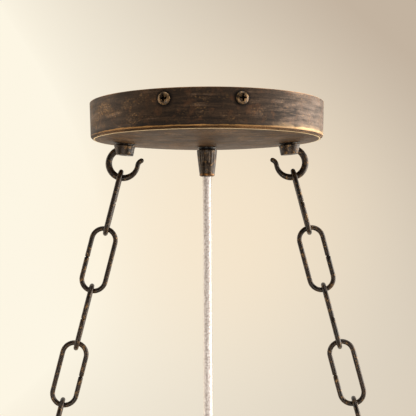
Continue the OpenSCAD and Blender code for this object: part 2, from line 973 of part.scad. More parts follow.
module hub_cover() {
  foot_r = cover_d / 2 - flange_w;
  color(bronze)
    translate([0, 0, nave_top_z])
      difference() {
        rotate_extrude($fn = 96)
          polygon(concat(
            [[cover_d / 2, 0], [cover_d / 2, cover_t]],
            cover_skin(0),
            [[0, cover_h], [0, cover_h - cover_t]],
            reversed(cover_skin(cover_t)),
            [[foot_r - cover_t, 0]]));
        translate([0, 0, -over])
          cylinder(h = cover_h + 2 * over, d = nipple_d + 2 * play);
        translate([0, 0, -nave_top_z])
          at_cover_screws()
            translate([0, 0, -over])
              cylinder(h = cover_t + 2 * over, d = cover_screw_d + 2 * play);
      }
}

module hub_cover_screws() {
  color(dark_bronze)
    at_cover_screws()
      translate([0, 0, cover_t])
        pan_screw(cover_screw_d, cover_t + cover_screw_l, flange_w * 0.7, 1.6);
}

// The lower cord grip stands on the hub cover, with its nipple through the cover
module hub_cord_grip() {
  color(dark_bronze)
    difference() {
      union() {
        translate([0, 0, cover_top_z])
          cylinder(h = grip_l, d1 = grip_wide_d, d2 = grip_narrow_d);
        translate([0, 0, cover_top_z - 2 * cover_t])
          cylinder(h = 2 * cover_t, d = nipple_d);
      }
      translate([0, 0, cover_top_z - 2 * cover_t - over])
        cylinder(h = grip_l + 2 * cover_t + 2 * over, d = cord_d + 2 * play);
    }
}

// The round connector in the chamber joins the cord's core to the lamp wires
module junction_block() {
  color(white_plastic)
    difference() {
      translate([0, 0, nave_low_z + chamber_floor])
        cylinder(h = core_low_z - nave_low_z - chamber_floor + 4, d = chamber_d / 2);
      translate([0, 0, core_low_z])
        cylinder(h = nave_h, d = core_d + 2 * play);
      for (a = lamp_angles)
        rotate([0, 0, a])
          translate([chamber_d / 6, 0, rim_mid_z])
            rotate([0, 90, 0])
              cylinder(h = chamber_d, d = lamp_wire_d + 2 * play);
    }
}

// The finial: a plate, a neck, a ball and a small tip, on a stud up into the nave
module finial() {
  plate_h = finial_h * 0.12;
  neck_r = finial_d * 0.14;
  ball_r = finial_h * 0.28;
  ball_z = -finial_h * 0.55;
  tip_ball_r = finial_h * 0.08;
  color(dark_bronze)
    translate([0, 0, nave_low_z]) {
      translate([0, 0, -plate_h])
        cylinder(h = plate_h, d1 = finial_d * 0.8, d2 = finial_d);
      translate([0, 0, ball_z])
        cylinder(h = -ball_z - plate_h / 2, r = neck_r);
      translate([0, 0, ball_z])
        sphere(r = ball_r);
      translate([0, 0, -finial_h + tip_ball_r])
        cylinder(h = finial_h / 2 - tip_ball_r, r1 = tip_ball_r * 0.7, r2 = neck_r);
      translate([0, 0, -finial_h + tip_ball_r])
        sphere(r = tip_ball_r);
      translate([0, 0, -plate_h / 2])
        cylinder(h = plate_h / 2 + chamber_floor - play, d = stud_d);
    }
}

/* Lamps */

module lamp_nipples() {
  color(zinc)
    at_lamps()
      difference() {
        tube(nipple_d, lamp_wire_d + 1, nipple_low_z, nipple_top_z);
        translate([-nipple_d, 0, rim_mid_z])
          rotate([0, 90, 0])
            cylinder(h = nipple_d, d = lamp_wire_d + 1);
      }
}

module lamp_lock_nuts() {
  color(dark_bronze)
    at_lamps()
      translate([0, 0, rim_low_z - lock_nut_h])
        hex_nut(lock_nut_af, lock_nut_h, nipple_d + 2 * thread_play);
}

module drip_pans() {
  hole_r = nipple_d / 2 + play;
  slope = [pan_d / 2 - pan_base_r, pan_h - pan_t];
  skin = pan_t * norm(slope) / slope[0];
  color(bronze)
    at_lamps()
      translate([0, 0, rim_top_z]) {
        rotate_extrude()
          polygon([
            [hole_r, 0], [pan_base_r, 0], [pan_d / 2, slope[1]],
            [pan_d / 2, slope[1] + skin], [pan_base_r, pan_t], [hole_r, pan_t]
          ]);
        rotate_extrude()
          translate([pan_d / 2, slope[1] + skin / 2])
            circle(r = pan_t);
      }
}

module candle_cups() {
  cup_in_r = sleeve_d / 2 + play;
  color(bronze)
    at_lamps()
      translate([0, 0, rim_top_z + pan_t])
        rotate_extrude()
          polygon([
            [nipple_d / 2 + play, 0], [cup_in_r + pan_t, 0], [cup_in_r + pan_t + 1, cup_h],
            [cup_in_r, cup_h], [cup_in_r, pan_t], [nipple_d / 2 + play, pan_t]
          ]);
}

module candle_sleeves() {
  color(candle_ivory)
    at_lamps()
      tube(sleeve_d, sleeve_d - 2 * sleeve_t, lamp_floor_z, lamp_floor_z + sleeve_h);
}

// A moulded holder on the nipple's thread, open at the top for the screw shell
module lamp_holders() {
  color(black_plastic)
    at_lamps()
      difference() {
        translate([0, 0, lamp_floor_z])
          cylinder(h = holder_h, d = holder_d);
        translate([0, 0, lamp_floor_z - over])
          cylinder(h = nipple_top_z - lamp_floor_z + over + play,
            d = nipple_d + 2 * thread_play);
        translate([0, 0, lamp_floor_z])
          cylinder(h = chamber_top_z - lamp_floor_z, d = lamp_wire_d + 1);
        translate([0, 0, contact_z])
          cylinder(h = holder_top_z - contact_z + over,
            d = shell_bore_d + 2 * (shell_t + thread_play));
      }
}

module screw_shells() {
  color(brass)
    at_lamps()
      tube(shell_bore_d + 2 * shell_t, shell_bore_d, shell_z, shell_z + shell_h);
}

module centre_contacts() {
  color(brass)
    at_lamps()
      translate([0, 0, contact_z]) {
        cylinder(h = 0.8, d = 8);
        cylinder(h = 1.8, d = 4);
      }
}

// Each wire runs from the junction through its spoke and up the nipple
module lamp_wires() {
  reach = chamber_d / 6 + 1;
  color(black_plastic)
    for (a = lamp_angles)
      rotate([0, 0, a])
        translate([0, 0, rim_mid_z]) {
          translate([reach, 0, 0])
            rotate([0, 90, 0])
              cylinder(h = rim_r - reach, d = lamp_wire_d);
          translate([rim_r, 0, 0]) {
            sphere(d = lamp_wire_d + elbow_swell);
            cylinder(h = chamber_top_z - rim_mid_z - play, d = lamp_wire_d);
          }
        }
}

ceiling_crossbar();
earth_screw();
terminal_block();
terminal_wires();
canopy_shell();
canopy_side_screws();
left_hook();
right_hook();
hook_collars();
hook_nuts();
cord_grip_nipple();
cord_grip_body();
cord_grip_lock_nut();
cord_sheath();
cord_core();
left_top_link();
right_top_link();
left_chain_links();
right_chain_links();
left_bottom_link();
right_bottom_link();
left_eye_bolt();
right_eye_bolt();
eye_collars();
eye_nuts();
rim_half_left();
rim_half_right();
rim_joint_plates();
rim_joint_screws();
tyre_band();
tyre_rivets();
spoke(0);  // spoke_01
spoke(1);  // spoke_02
spoke(2);  // spoke_03
spoke(3);  // spoke_04
spoke(4);  // spoke_05
spoke(5);  // spoke_06
spoke(6);  // spoke_07
spoke(7);  // spoke_08
spoke(8);  // spoke_09
spoke(9);  // spoke_10
spoke(10);  // spoke_11
spoke(11);  // spoke_12
nave();
nave_top_band();
nave_bottom_band();
hub_cover();
hub_cover_screws();
hub_cord_grip();
junction_block();
finial();
lamp_nipples();
lamp_lock_nuts();
drip_pans();
candle_cups();
candle_sleeves();
lamp_holders();
screw_shells();
centre_contacts();
lamp_wires();
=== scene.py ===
"""A wagon wheel chandelier: an aged bronze canopy with two screw hooks, two chains and a clear
cord, carrying a spoked wooden wheel with an iron tyre and six candle lamps.

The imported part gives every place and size. Each section below dresses or rebuilds the pieces
of one step of the assembly, from the ceiling down. Lengths are in metres.
"""

import math
import random

import bmesh
import bpy
import numpy
from mathutils import Matrix, Vector


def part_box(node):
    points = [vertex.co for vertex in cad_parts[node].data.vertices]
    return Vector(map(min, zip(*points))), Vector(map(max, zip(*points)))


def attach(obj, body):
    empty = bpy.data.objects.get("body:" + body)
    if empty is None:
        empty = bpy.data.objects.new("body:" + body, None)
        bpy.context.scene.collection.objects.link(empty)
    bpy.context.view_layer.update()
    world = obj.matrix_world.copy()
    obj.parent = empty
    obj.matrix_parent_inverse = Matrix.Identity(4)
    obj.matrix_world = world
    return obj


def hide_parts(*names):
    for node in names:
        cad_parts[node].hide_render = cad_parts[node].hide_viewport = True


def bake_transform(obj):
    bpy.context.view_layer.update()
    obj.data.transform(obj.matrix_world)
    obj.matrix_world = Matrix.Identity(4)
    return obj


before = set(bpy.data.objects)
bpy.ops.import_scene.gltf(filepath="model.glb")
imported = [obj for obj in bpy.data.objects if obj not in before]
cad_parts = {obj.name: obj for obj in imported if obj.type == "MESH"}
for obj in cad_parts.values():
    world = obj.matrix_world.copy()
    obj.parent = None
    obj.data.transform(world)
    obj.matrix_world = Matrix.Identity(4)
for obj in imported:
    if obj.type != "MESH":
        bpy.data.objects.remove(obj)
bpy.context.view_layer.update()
mm = 0.001


# ---------------------------------------------------------------- camera and studio
# A level camera stands close in front of the canopy and a little below it. Two tall soft
# boxes light the part from both sides, the right one stronger, before a cream backdrop.


def linear(hex_colour):
    """An sRGB colour such as "#8a6238" as linear RGBA."""
    shares = [int(hex_colour[i : i + 2], 16) / 255 for i in (1, 3, 5)]
    return [c / 12.92 if c <= 0.04045 else ((c + 0.055) / 1.055) ** 2.4 for c in shares] + [1]


def fill(node, inputs):
    """Gives a node's sockets, by name or number, a value, a hex colour or another's output."""
    for key, value in inputs.items():
        if isinstance(value, bpy.types.NodeSocket):
            node.id_data.links.new(value, node.inputs[key])
        else:
            node.inputs[key].default_value = linear(value) if isinstance(value, str) else value


def add_node(tree, kind, inputs=None, out=0, **settings):
    """Adds a shader node with its settings and links, and returns one of its outputs."""
    node = tree.nodes.new("ShaderNode" + kind)
    for name, value in settings.items():
        setattr(node, name, value)
    fill(node, inputs or {})
    return node.outputs[out] if node.outputs else node


camera_data = bpy.data.cameras.new("camera")
camera_data.sensor_width = 36
camera_data.lens = 62.9
camera_roll = math.radians(0.28)
camera = bpy.data.objects.new("camera", camera_data)
camera.location = (0.46 * mm, -443 * mm, -62.3 * mm)
camera.rotation_euler = (math.radians(90), camera_roll, 0)
bpy.context.scene.collection.objects.link(camera)
bpy.context.scene.camera = camera
bpy.context.scene.view_settings.view_transform = "Standard"

world = bpy.data.worlds.new("studio")
world.use_nodes = True
bpy.context.scene.world = world
air = world.node_tree
air.nodes.clear()
direction = add_node(air, "TexCoord", out="Generated")
sideward, forward, upward = add_node(air, "SeparateXYZ", {0: direction}).node.outputs
# The backdrop glows at the left and in the middle, and dulls to the upper right and at its foot.
across = add_node(air, "Clamp", {0: sideward, 1: -0.35, 2: 0.35})
height = add_node(air, "Clamp", {0: upward, 1: -0.35, 2: 0.35})
skew = add_node(air, "Math", {0: height, 1: 2.3, 2: 1.6}, operation="MULTIPLY_ADD")
tilt = add_node(air, "Math", {0: height, 1: 2.8, 2: 0.6}, operation="MULTIPLY_ADD")
rise = add_node(air, "Math", {0: height, 1: tilt, 2: 0.24}, operation="MULTIPLY_ADD")
slope = add_node(air, "Math", {0: across, 1: skew, 2: rise}, operation="MULTIPLY_ADD", use_clamp=True)
fade = add_node(air, "Math", {0: slope, 1: 0.75}, operation="POWER")
paper_light = add_node(air, "Mix", {0: fade, 6: "#fdf6e4", 7: "#c3b3a0"}, 2, data_type="RGBA")
# A lamp behind the part warms the middle.
glow_middle = (0.03, 0.98, -0.01)
from_glow = add_node(air, "VectorMath", {0: direction, 1: glow_middle}, "Value", operation="DISTANCE")
glow = add_node(air, "MapRange", {0: from_glow, 1: 0.3, 2: 0.02, 4: 0.6}, interpolation_type="SMOOTHSTEP")
backdrop = add_node(air, "Mix", {0: glow, 6: paper_light, 7: "#fce8ca"}, 2, data_type="RGBA")
# What the part reflects: a bright backdrop behind it, and a dim room in front of it.
depth = add_node(air, "MapRange", {0: forward, 1: -0.3, 2: 0.7}, interpolation_type="SMOOTHSTEP")
room = add_node(air, "Mix", {0: depth, 6: "#5f5a54", 7: "#fff6e7"}, 2, data_type="RGBA")
path = add_node(air, "LightPath").node.outputs
seen = add_node(air, "Math", {0: path["Is Camera Ray"], 1: path["Is Transmission Ray"]}, operation="MAXIMUM")
shown = add_node(air, "Mix", {0: seen, 6: room, 7: backdrop}, 2, data_type="RGBA")
add_node(air, "OutputWorld", {0: add_node(air, "Background", {"Color": shown})})


def soft_box(name, place, width, height, watts, colour):
    """A rectangular lamp turned to the part, unseen by the camera."""
    data = bpy.data.lights.new(name, "AREA")
    data.shape = "RECTANGLE"
    data.size = width
    data.size_y = height
    data.energy = watts
    data.color = linear(colour)[:3]
    lamp = bpy.data.objects.new(name, data)
    lamp.location = place
    lamp.rotation_euler = (Vector(place) - lamp_aim).to_track_quat("Z", "Y").to_euler()
    lamp.visible_camera = False
    bpy.context.scene.collection.objects.link(lamp)


lamp_aim = Vector((0, 0, -0.35))
soft_box("right_soft_box", (2.5, 0.1, -0.2), 3.4, 2.6, 180, "#fff6ea")
soft_box("left_soft_box", (-2.4, 0.1, -0.2), 1.7, 2.6, 29, "#fff0dc")
soft_box("overhead_soft_box", (0.3, -0.4, 2.4), 2.2, 2.2, 42, "#fffaf2")
soft_box("low_front_soft_box", (-0.3, -2.2, -1.0), 1.6, 0.9, 24, "#fff4e6")

floor_drop = 120 * mm
floor_r = 2.6
floor_mesh = bpy.data.meshes.new("studio_floor")
build = bmesh.new()
bmesh.ops.create_circle(build, cap_ends=True, segments=96, radius=floor_r)
build.to_mesh(floor_mesh)
build.free()
floor = bpy.data.objects.new("studio_floor", floor_mesh)
floor.location = (0, 0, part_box("finial")[0].z - floor_drop)
bpy.context.scene.collection.objects.link(floor)

# The floor is matt cream paper that fades out towards its rim.
paper = bpy.data.materials.new("studio_paper")
paper.use_nodes = True
sheet = paper.node_tree
sheet.nodes.clear()
spot = add_node(sheet, "TexCoord", out="Object")
reach = add_node(sheet, "VectorMath", {0: spot}, "Value", operation="LENGTH")
edge = add_node(sheet, "MapRange", {0: reach, 1: 1.2, 2: floor_r - 0.1}, interpolation_type="SMOOTHSTEP")
matt = add_node(sheet, "BsdfDiffuse", {"Color": "#e9e0d2"})
clear = add_node(sheet, "BsdfTransparent")
add_node(sheet, "OutputMaterial", {0: add_node(sheet, "MixShader", {0: edge, 1: matt, 2: clear})})
floor_mesh.materials.append(paper)


# ---------------------------------------------------------------- cord
# A clear PVC sheath is extruded over a core braided from tinned wire, eight strands each way.
# The canopy's grip and the hub's grip hold it. It is built in three straight lengths, split where it leaves
# each grip, and its ends go with the canopy and the wheel.


def new_finish(name):
    """A new material with its node tree, its Principled shader and its place on the object."""
    finish = bpy.data.materials.new(name)
    finish.use_nodes = True
    tree = finish.node_tree
    return finish, tree, tree.nodes["Principled BSDF"], add_node(tree, "TexCoord", out="Object")


def speckle(tree, place, size, detail=2.0, roughness=0.5, squeeze=(1, 1, 1)):
    """A pattern of marks about that size, squeezed along the axes with a factor above 1."""
    squeezed = add_node(tree, "VectorMath", {0: place, 1: squeeze}, operation="MULTIPLY")
    return add_node(tree, "TexNoise", {"Vector": squeezed, "Scale": 1 / size, "Detail": detail,
                                       "Roughness": roughness})


def overlap(tree, *masks):
    """Masks multiplied together. A mask is an output, a number or a ramp. A ramp holds an
    output with its values for 0 and for 1, and may hold two other ends than 0 and 1."""
    share = None
    for mask in masks:
        if isinstance(mask, tuple):
            mask = add_node(tree, "MapRange", dict(enumerate(mask)))
        share = mask if share is None else add_node(tree, "Math", {0: share, 1: mask}, operation="MULTIPLY")
    return share


def layered(tree, colour, *layers):
    """A colour with layers over it, each a colour and the masks for where it shows."""
    for cover, *masks in layers:
        share = overlap(tree, *masks)
        colour = add_node(tree, "Mix", {0: share, 6: colour, 7: cover}, 2, data_type="RGBA")
    return colour


def new_piece(name, points, faces, finish, smooth=True):
    """A mesh object from points and faces, in the part's own frame."""
    mesh = bpy.data.meshes.new(name)
    mesh.from_pydata([tuple(p) for p in points], [], faces)
    mesh.materials.append(finish)
    mesh.polygons.foreach_set("use_smooth", [smooth] * len(mesh.polygons))
    mesh.update()
    piece = bpy.data.objects.new(name, mesh)
    bpy.context.scene.collection.objects.link(piece)
    return piece


def circle(radius, height, sides):
    """Points round the Z axis."""
    turns = [2 * math.pi * i / sides for i in range(sides)]
    return [Vector((radius * math.cos(a), radius * math.sin(a), height)) for a in turns]


def skin_rings(rings, sides, closed=False):
    """Quads between rings of points, each ring `sides` long, with flat ends unless closed."""
    faces = []
    for k in range(rings if closed else rings - 1):
        a, b = k * sides, (k + 1) % rings * sides
        for i in range(sides):
            j = (i + 1) % sides
            faces.append((a + i, a + j, b + j, b + i))
    if not closed:
        faces.append(tuple(reversed(range(sides))))
        faces.append(tuple((rings - 1) * sides + i for i in range(sides)))
    return faces


sheath_low, sheath_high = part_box("cord_sheath")
core_low, core_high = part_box("cord_core")
sheath_r = (sheath_high.x - sheath_low.x) / 2
core_r = (core_high.x - core_low.x) / 2
grip_mouth_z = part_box("cord_grip_body")[0].z
hub_mouth_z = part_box("hub_cord_grip")[1].z

strands = 8
strand_pitch = 1.57 * mm
strand_lift = 0.11 * mm
strand_round = 0.17 * mm
braid_rows_per_pitch = 5
braid_sides = 4 * strands
sheath_sides = 40


def braid_core(name, z_high, z_low, finish):
    """A plain weave of two families of strands that wind round the core both ways."""
    rows = max(2, round((z_high - z_low) / strand_pitch * braid_rows_per_pitch) + 1)
    z = numpy.linspace(z_high, z_low, rows)[:, None]
    turn = (numpy.arange(braid_sides) / braid_sides)[None, :]
    right = strands * turn + z / strand_pitch
    left = strands * turn - z / strand_pitch

    def height(own, other, sign):
        across = 2 * (own % 1) - 1
        over = numpy.cos(math.pi * (other - 0.5) + math.pi * numpy.floor(own))
        return strand_round * numpy.sqrt(1 - across**2) + sign * strand_lift * over

    relief = numpy.maximum(height(right, left, 1), height(left, right, -1))
    radius = core_r - strand_round - strand_lift + relief
    angle = 2 * math.pi * turn
    points = numpy.stack(
        [radius * numpy.cos(angle), radius * numpy.sin(angle), z + 0 * radius], axis=-1)
    faces = [f[::-1] for f in skin_rings(rows, braid_sides)]
    return new_piece(name, points.reshape(-1, 3).tolist(), faces, finish)


def clear_tube(name, z_high, z_low, finish):
    """The sheath, closed at both ends, with a bore that grips the braid."""
    bore_r = core_r - 2 * strand_lift - strand_round
    outline = [(bore_r, z_high), (sheath_r, z_high), (sheath_r, z_low), (bore_r, z_low)]
    points = [p for r, z in outline for p in circle(r, z, sheath_sides)]
    faces = skin_rings(len(outline), sheath_sides, closed=True)
    piece = new_piece(name, points, faces, finish, smooth=False)
    for face in piece.data.polygons:
        face.use_smooth = abs(face.normal.z) < 0.5
    return piece


# Clear PVC: as clear as water over the braid, with the sharp reflections of a wet surface.
clear_pvc = bpy.data.materials.new("clear_pvc")
clear_pvc.use_nodes = True
tree = clear_pvc.node_tree
tree.nodes.clear()
body = add_node(tree, "BsdfTransparent", {"Color": "#fdfbf9"})
gloss = add_node(tree, "BsdfGlossy", {"Color": "#ffffff", "Roughness": 0.07})
facing = add_node(tree, "LayerWeight", {"Blend": 0.5}, "Facing")
grazing = add_node(tree, "Math", {0: facing, 1: 5.0}, operation="POWER")
mirrored = add_node(tree, "Math", {0: grazing, 1: 0.95, 2: 0.05}, operation="MULTIPLY_ADD")
wet = add_node(tree, "MixShader", {0: mirrored, 1: body, 2: gloss})
add_node(tree, "OutputMaterial", {0: wet})

# Tinned copper braid: pale grey metal, unevenly dulled.
tinned_braid, tree, shader, place = new_finish("tinned_braid")
metal = layered(tree, "#c0bbbd", ("#f8f8fe", (speckle(tree, place, 1.2 * mm), 0.35, 0.65)))
fill(shader, {"Base Color": metal, "Metallic": 0.1, "Roughness": 0.42})

stretches = [
    ("canopy_end", sheath_high.z, grip_mouth_z, core_high.z, grip_mouth_z),
    ("hanging", grip_mouth_z, hub_mouth_z, grip_mouth_z, hub_mouth_z),
    ("hub_end", hub_mouth_z, sheath_low.z, hub_mouth_z, core_low.z),
]
for where, sheath_top, sheath_end, core_top, core_end in stretches:
    sheath = clear_tube("cord_sheath_" + where, sheath_top, sheath_end, clear_pvc)
    core = braid_core("cord_braid_" + where, core_top, core_end, tinned_braid)
    for piece, node, slot in ((sheath, "cord_sheath", "clear_sheath"), (core, "cord_core", "woven_braid")):
        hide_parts(node)
        if where == "hanging":
            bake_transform(piece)
        else:
            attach(piece, "canopy" if where == "canopy_end" else "wheel")


# ---------------------------------------------------------------- ceiling crossbar and wiring
# A pressed, zinc-plated bar screws to the ceiling box. It carries the green earth screw and a
# small terminal block, where the three leads of the cord end.


def dress(finish, *nodes):
    """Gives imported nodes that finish."""
    for name in nodes:
        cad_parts[name].data.materials[0] = finish


# Zinc plate over pressed steel: bright grey with a soft crystalline cloudiness.
zinc_plate, tree, shader, place = new_finish("zinc_plate")
spangle = add_node(tree, "TexVoronoi", {"Vector": place, "Scale": 1 / (3 * mm)}, "Distance")
cloud = speckle(tree, place, 14 * mm, 4.0)
mixed = add_node(tree, "Math", {0: spangle, 1: 0.4, 2: cloud}, operation="MULTIPLY_ADD")
fill(shader, {"Base Color": layered(tree, "#8d9094", ("#c3c5c6", (mixed, 0.4, 0.9))),
              "Roughness": overlap(tree, (mixed, 0.4, 0.9, 0.45, 0.28)), "Metallic": 1})
dress(zinc_plate, "ceiling_crossbar", "hook_nuts", "cord_grip_lock_nut", "lamp_nipples")

# Green chromate on the earth screw: thin, slightly uneven colour over bright metal.
green_chromate, tree, shader, place = new_finish("green_chromate")
green = layered(tree, "#1d5a2a", ("#3f8a45", speckle(tree, place, 1.5 * mm, 3.0)))
fill(shader, {"Base Color": green, "Metallic": 0.7, "Roughness": 0.35})
dress(green_chromate, "earth_screw")

# White nylon mouldings: off-white, with a fine moulded grain.
white_nylon, tree, shader, place = new_finish("white_nylon")
grain = speckle(tree, place, 0.5 * mm)
bump = add_node(tree, "Bump", {"Strength": 0.2, "Distance": 0.05 * mm, "Height": grain})
fill(shader, {"Base Color": layered(tree, "#dedbd0", ("#eeebe2", grain)), "Normal": bump, "Roughness": 0.42})
dress(white_nylon, "terminal_block", "junction_block")

# PVC lead insulation: brown, blue and green-yellow leads, told apart by where they run.
lead_pvc, tree, shader, place = new_finish("lead_pvc")
lead_half = 0.8 * mm
side = add_node(tree, "SeparateXYZ", {0: place}, "Y")
is_right = add_node(tree, "Math", {0: side, 1: lead_half}, operation="GREATER_THAN")
is_left = add_node(tree, "Math", {0: side, 1: -lead_half}, operation="LESS_THAN")
band = add_node(tree, "TexWave", {"Vector": place, "Scale": 1 / (6 * mm), "Distortion": 0.0},
                bands_direction="DIAGONAL")
stripe = add_node(tree, "Math", {0: band, 1: 0.6}, operation="GREATER_THAN")
leads = layered(tree, "#2f7d3a", ("#d8c437", stripe), ("#5a3220", is_right), ("#24508f", is_left))
fill(shader, {"Base Color": leads, "Roughness": 0.38})
dress(lead_pvc, "terminal_wires")


# ---------------------------------------------------------------- canopy
# The cover is spun from steel sheet, sprayed nearly black and rubbed over by hand with bronze
# and gold. The brush ran round it, and the rubbing caught most on the rolled lower corner.
# Painted sheen lightens its left and right sides, and painted highlights lie on the corner's lips.


def worn_edges(tree, radius):
    """A mask that is 1 along the shape's edges, within that radius, and 0 on its flats. It starts
    where the rounded surface leans some 6 degrees from the real one and is full at some 22."""
    rounded = add_node(tree, "Bevel", {"Radius": radius}, samples=6)
    plain = add_node(tree, "NewGeometry", out="Normal")
    facing = add_node(tree, "VectorMath", {0: rounded, 1: plain}, "Value", operation="DOT_PRODUCT")
    return add_node(tree, "MapRange", {0: facing, 1: 0.995, 2: 0.93})


shell_low, shell_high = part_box("canopy_shell")
groove_r = shell_high.x - 1.14 * mm
groove_z = shell_low.z + 4.64 * mm

# The side screws stand in two pairs, a little off the line square to the hooks.
screw_low, screw_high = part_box("canopy_side_screws")
screw_z = (screw_low.z + screw_high.z) / 2
screw_angle = 16.7
screw_turn = 1.5
screw_bearings = [math.radians(base + side * screw_angle - screw_turn)
                  for base in (90, 270) for side in (-1, 1)]
screw_seats = [Vector((shell_high.x * math.cos(a), shell_high.x * math.sin(a), screw_z))
               for a in screw_bearings]


def add_groove(tree, place, colour, shine, strokes, patches, right_sheen_side):
    """Adds the dark groove, its two rubbed lips, lightened in places by painted highlights, and painted
    shadow rings round the side screws.
    """
    x, y, z = add_node(tree, "SeparateXYZ", {0: place}).node.outputs
    flat = add_node(tree, "CombineXYZ", {0: x, 1: y})
    radius = add_node(tree, "VectorMath", {0: flat}, "Value", operation="LENGTH")
    outward = add_node(tree, "Math", {0: radius, 1: groove_r}, operation="SUBTRACT")
    up = add_node(tree, "Math", {0: z, 1: groove_z}, operation="SUBTRACT")
    offset = add_node(tree, "CombineXYZ", {0: outward, 1: up})
    away = add_node(tree, "VectorMath", {0: offset}, "Value", operation="LENGTH")
    above = add_node(tree, "Math", {0: up, 1: -0.2 * mm}, operation="GREATER_THAN")
    below = add_node(tree, "Math", {0: 1.0, 1: above}, operation="SUBTRACT")
    # The upper lip is ragged and catches less gold in places. It is wider and lighter at the right as a
    # painted highlight.
    ragged = add_node(tree, "Math", {0: strokes, 1: 2.4 * mm, 2: -1.2 * mm}, operation="MULTIPLY_ADD")
    wide = add_node(tree, "Math", {0: right_sheen_side, 1: 0.8 * mm, 2: ragged}, operation="MULTIPLY_ADD")
    upper_end = add_node(tree, "Math", {0: wide, 1: 1.35 * mm}, operation="ADD")
    upper = overlap(tree, above, add_node(tree, "Math", {0: away, 1: upper_end}, operation="LESS_THAN"))
    lip = layered(tree, "#a07a4a", ("#a2835c", right_sheen_side))
    caught = speckle(tree, place, 24 * mm, 2.0, 0.55)
    dark_end = add_node(tree, "Math", {0: below, 1: 0.3 * mm, 2: 0.95 * mm}, operation="MULTIPLY_ADD")
    beyond = add_node(tree, "Math", {0: away, 1: dark_end}, operation="SUBTRACT")
    dark = overlap(tree, (beyond, 0, -0.15 * mm))
    # The painted shadow rings round the screws use the distance to the nearest screw seat.
    nearest = 1.0
    for seat in screw_seats:
        apart = add_node(tree, "VectorMath", {0: place, 1: seat}, "Value", operation="DISTANCE")
        nearest = add_node(tree, "Math", {0: nearest, 1: apart}, operation="MINIMUM")
    # Over the colour go a darker band above the groove, the pale lower lip (a rubbed edge lightened as a
    # painted highlight), the gold upper lip, a pale painted highlight patch at the right, the dark groove,
    # and painted shadow rings round the screws.
    colour = layered(
        tree, colour,
        ("#211c1b", above, (away, 3.6 * mm, 1.8 * mm), 0.6),
        ("#d6c19a", below, (away, 2.1 * mm, 1.75 * mm)),
        (lip, upper, (caught, 0.4, 0.58, 0.3, 1.0)),
        ("#b59a78", above, right_sheen_side, (away, 4.2 * mm, 1.4 * mm), (patches, 0.4, 0.54, 0.15, 0.8)),
        ("#120c08", dark),
        ("#0f0b09", (nearest, 5.2 * mm, 3.7 * mm), 0.85))
    lit = add_node(tree, "Math", {0: upper, 1: dark}, operation="SUBTRACT", use_clamp=True)
    return colour, add_node(tree, "Math", {0: shine, 1: lit}, operation="MAXIMUM")


